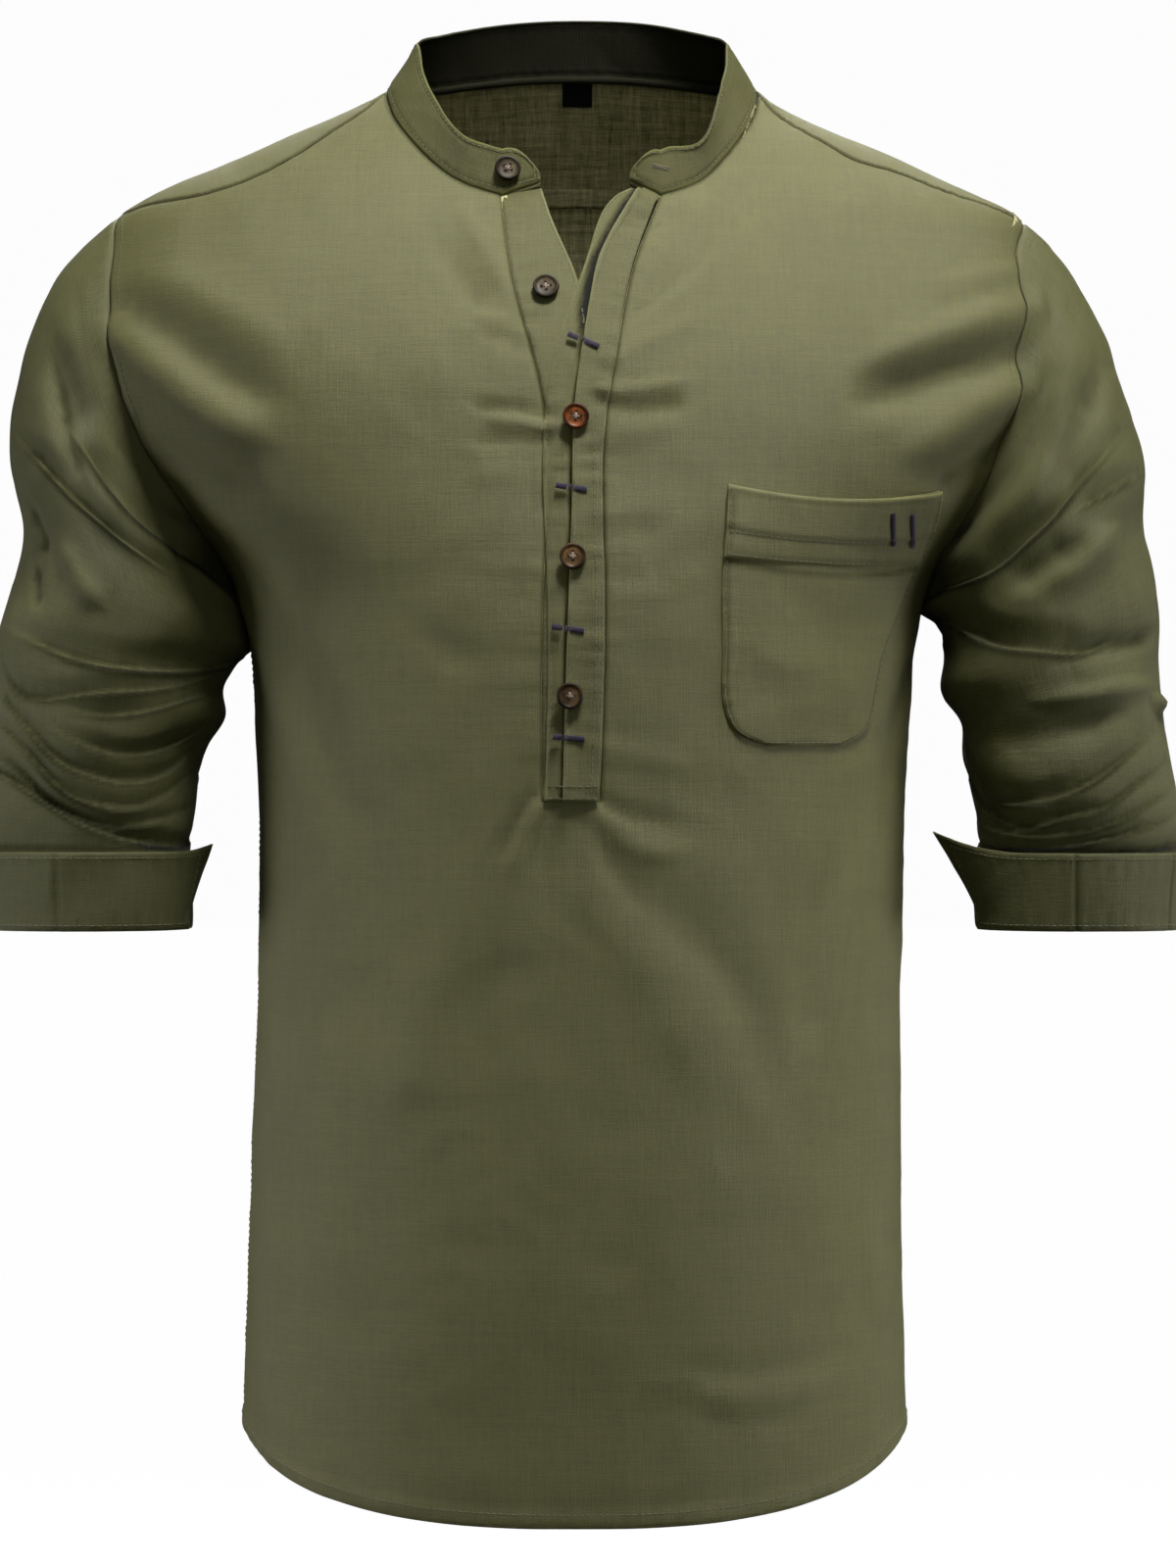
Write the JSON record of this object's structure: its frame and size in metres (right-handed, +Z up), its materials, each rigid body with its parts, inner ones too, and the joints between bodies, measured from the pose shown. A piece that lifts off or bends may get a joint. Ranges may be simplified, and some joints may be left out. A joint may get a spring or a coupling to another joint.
{
  "type": "band-collar half-placket shirt",
  "caption": "Woven band-collar popover shirt with a buttoned half placket, chest pocket and rolled sleeves, hollow as worn.",
  "frame": {"origin": "middle of the line between the two side-neck points, where the shirt hangs on its wearer's shoulders", "axes": "+Z up, the shirt's front faces -Y, +X towards the side with the chest pocket (the wearer's left)"},
  "size_m": [0.6137, 0.2508, 0.7681],
  "materials": {
    "shirt_cloth": "matte olive slub linen, plain weave",
    "button": "marbled dark brown, polished",
    "label_tape": "black woven tape, bare"
  },
  "bodies": {
    "root": {"front": "shirt_cloth", "back": "shirt_cloth", "yoke": "shirt_cloth", "sleeve_left": "shirt_cloth", "sleeve_right": "shirt_cloth", "cuff_left": "shirt_cloth", "cuff_right": "shirt_cloth", "collar_band": "shirt_cloth", "placket_underlap": "shirt_cloth", "placket_inner": "shirt_cloth", "placket_fly": "shirt_cloth", "pocket": "shirt_cloth", "pocket_band": "shirt_cloth", "button_collar": "button", "button_1": "button", "button_2": "button", "button_3": "button", "button_4": "button", "label": "label_tape"}
  },
  "joints": []
}
